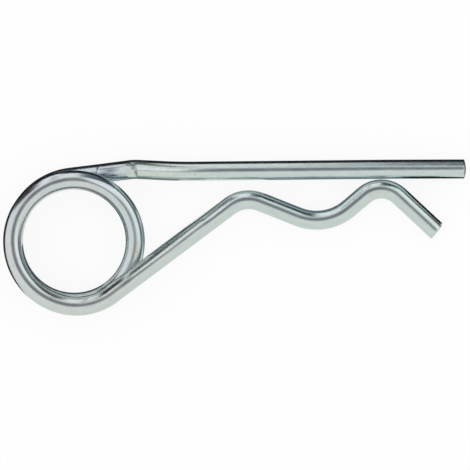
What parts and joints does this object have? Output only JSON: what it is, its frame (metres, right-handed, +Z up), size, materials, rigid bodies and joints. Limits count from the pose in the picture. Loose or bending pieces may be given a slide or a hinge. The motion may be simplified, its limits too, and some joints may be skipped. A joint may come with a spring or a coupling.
{
  "type": "hitch r clip pin",
  "caption": "Spring wire R clip with a closed coil ring, a straight leg and a wavy leg that grips a hitch pin.",
  "frame": {"origin": "centre of the ring, in the plane of the two legs", "axes": "+X from the ring towards the ends of the legs, +Y from the ring towards the straight leg, +Z up from the surface that the clip lies on"},
  "size_m": [0.1211, 0.0412, 0.011],
  "materials": {
    "zinc_plated_wire": "bright zinc plating, clear passivated, half gloss"
  },
  "bodies": {
    "root": {"clip": "zinc_plated_wire"}
  },
  "joints": []
}
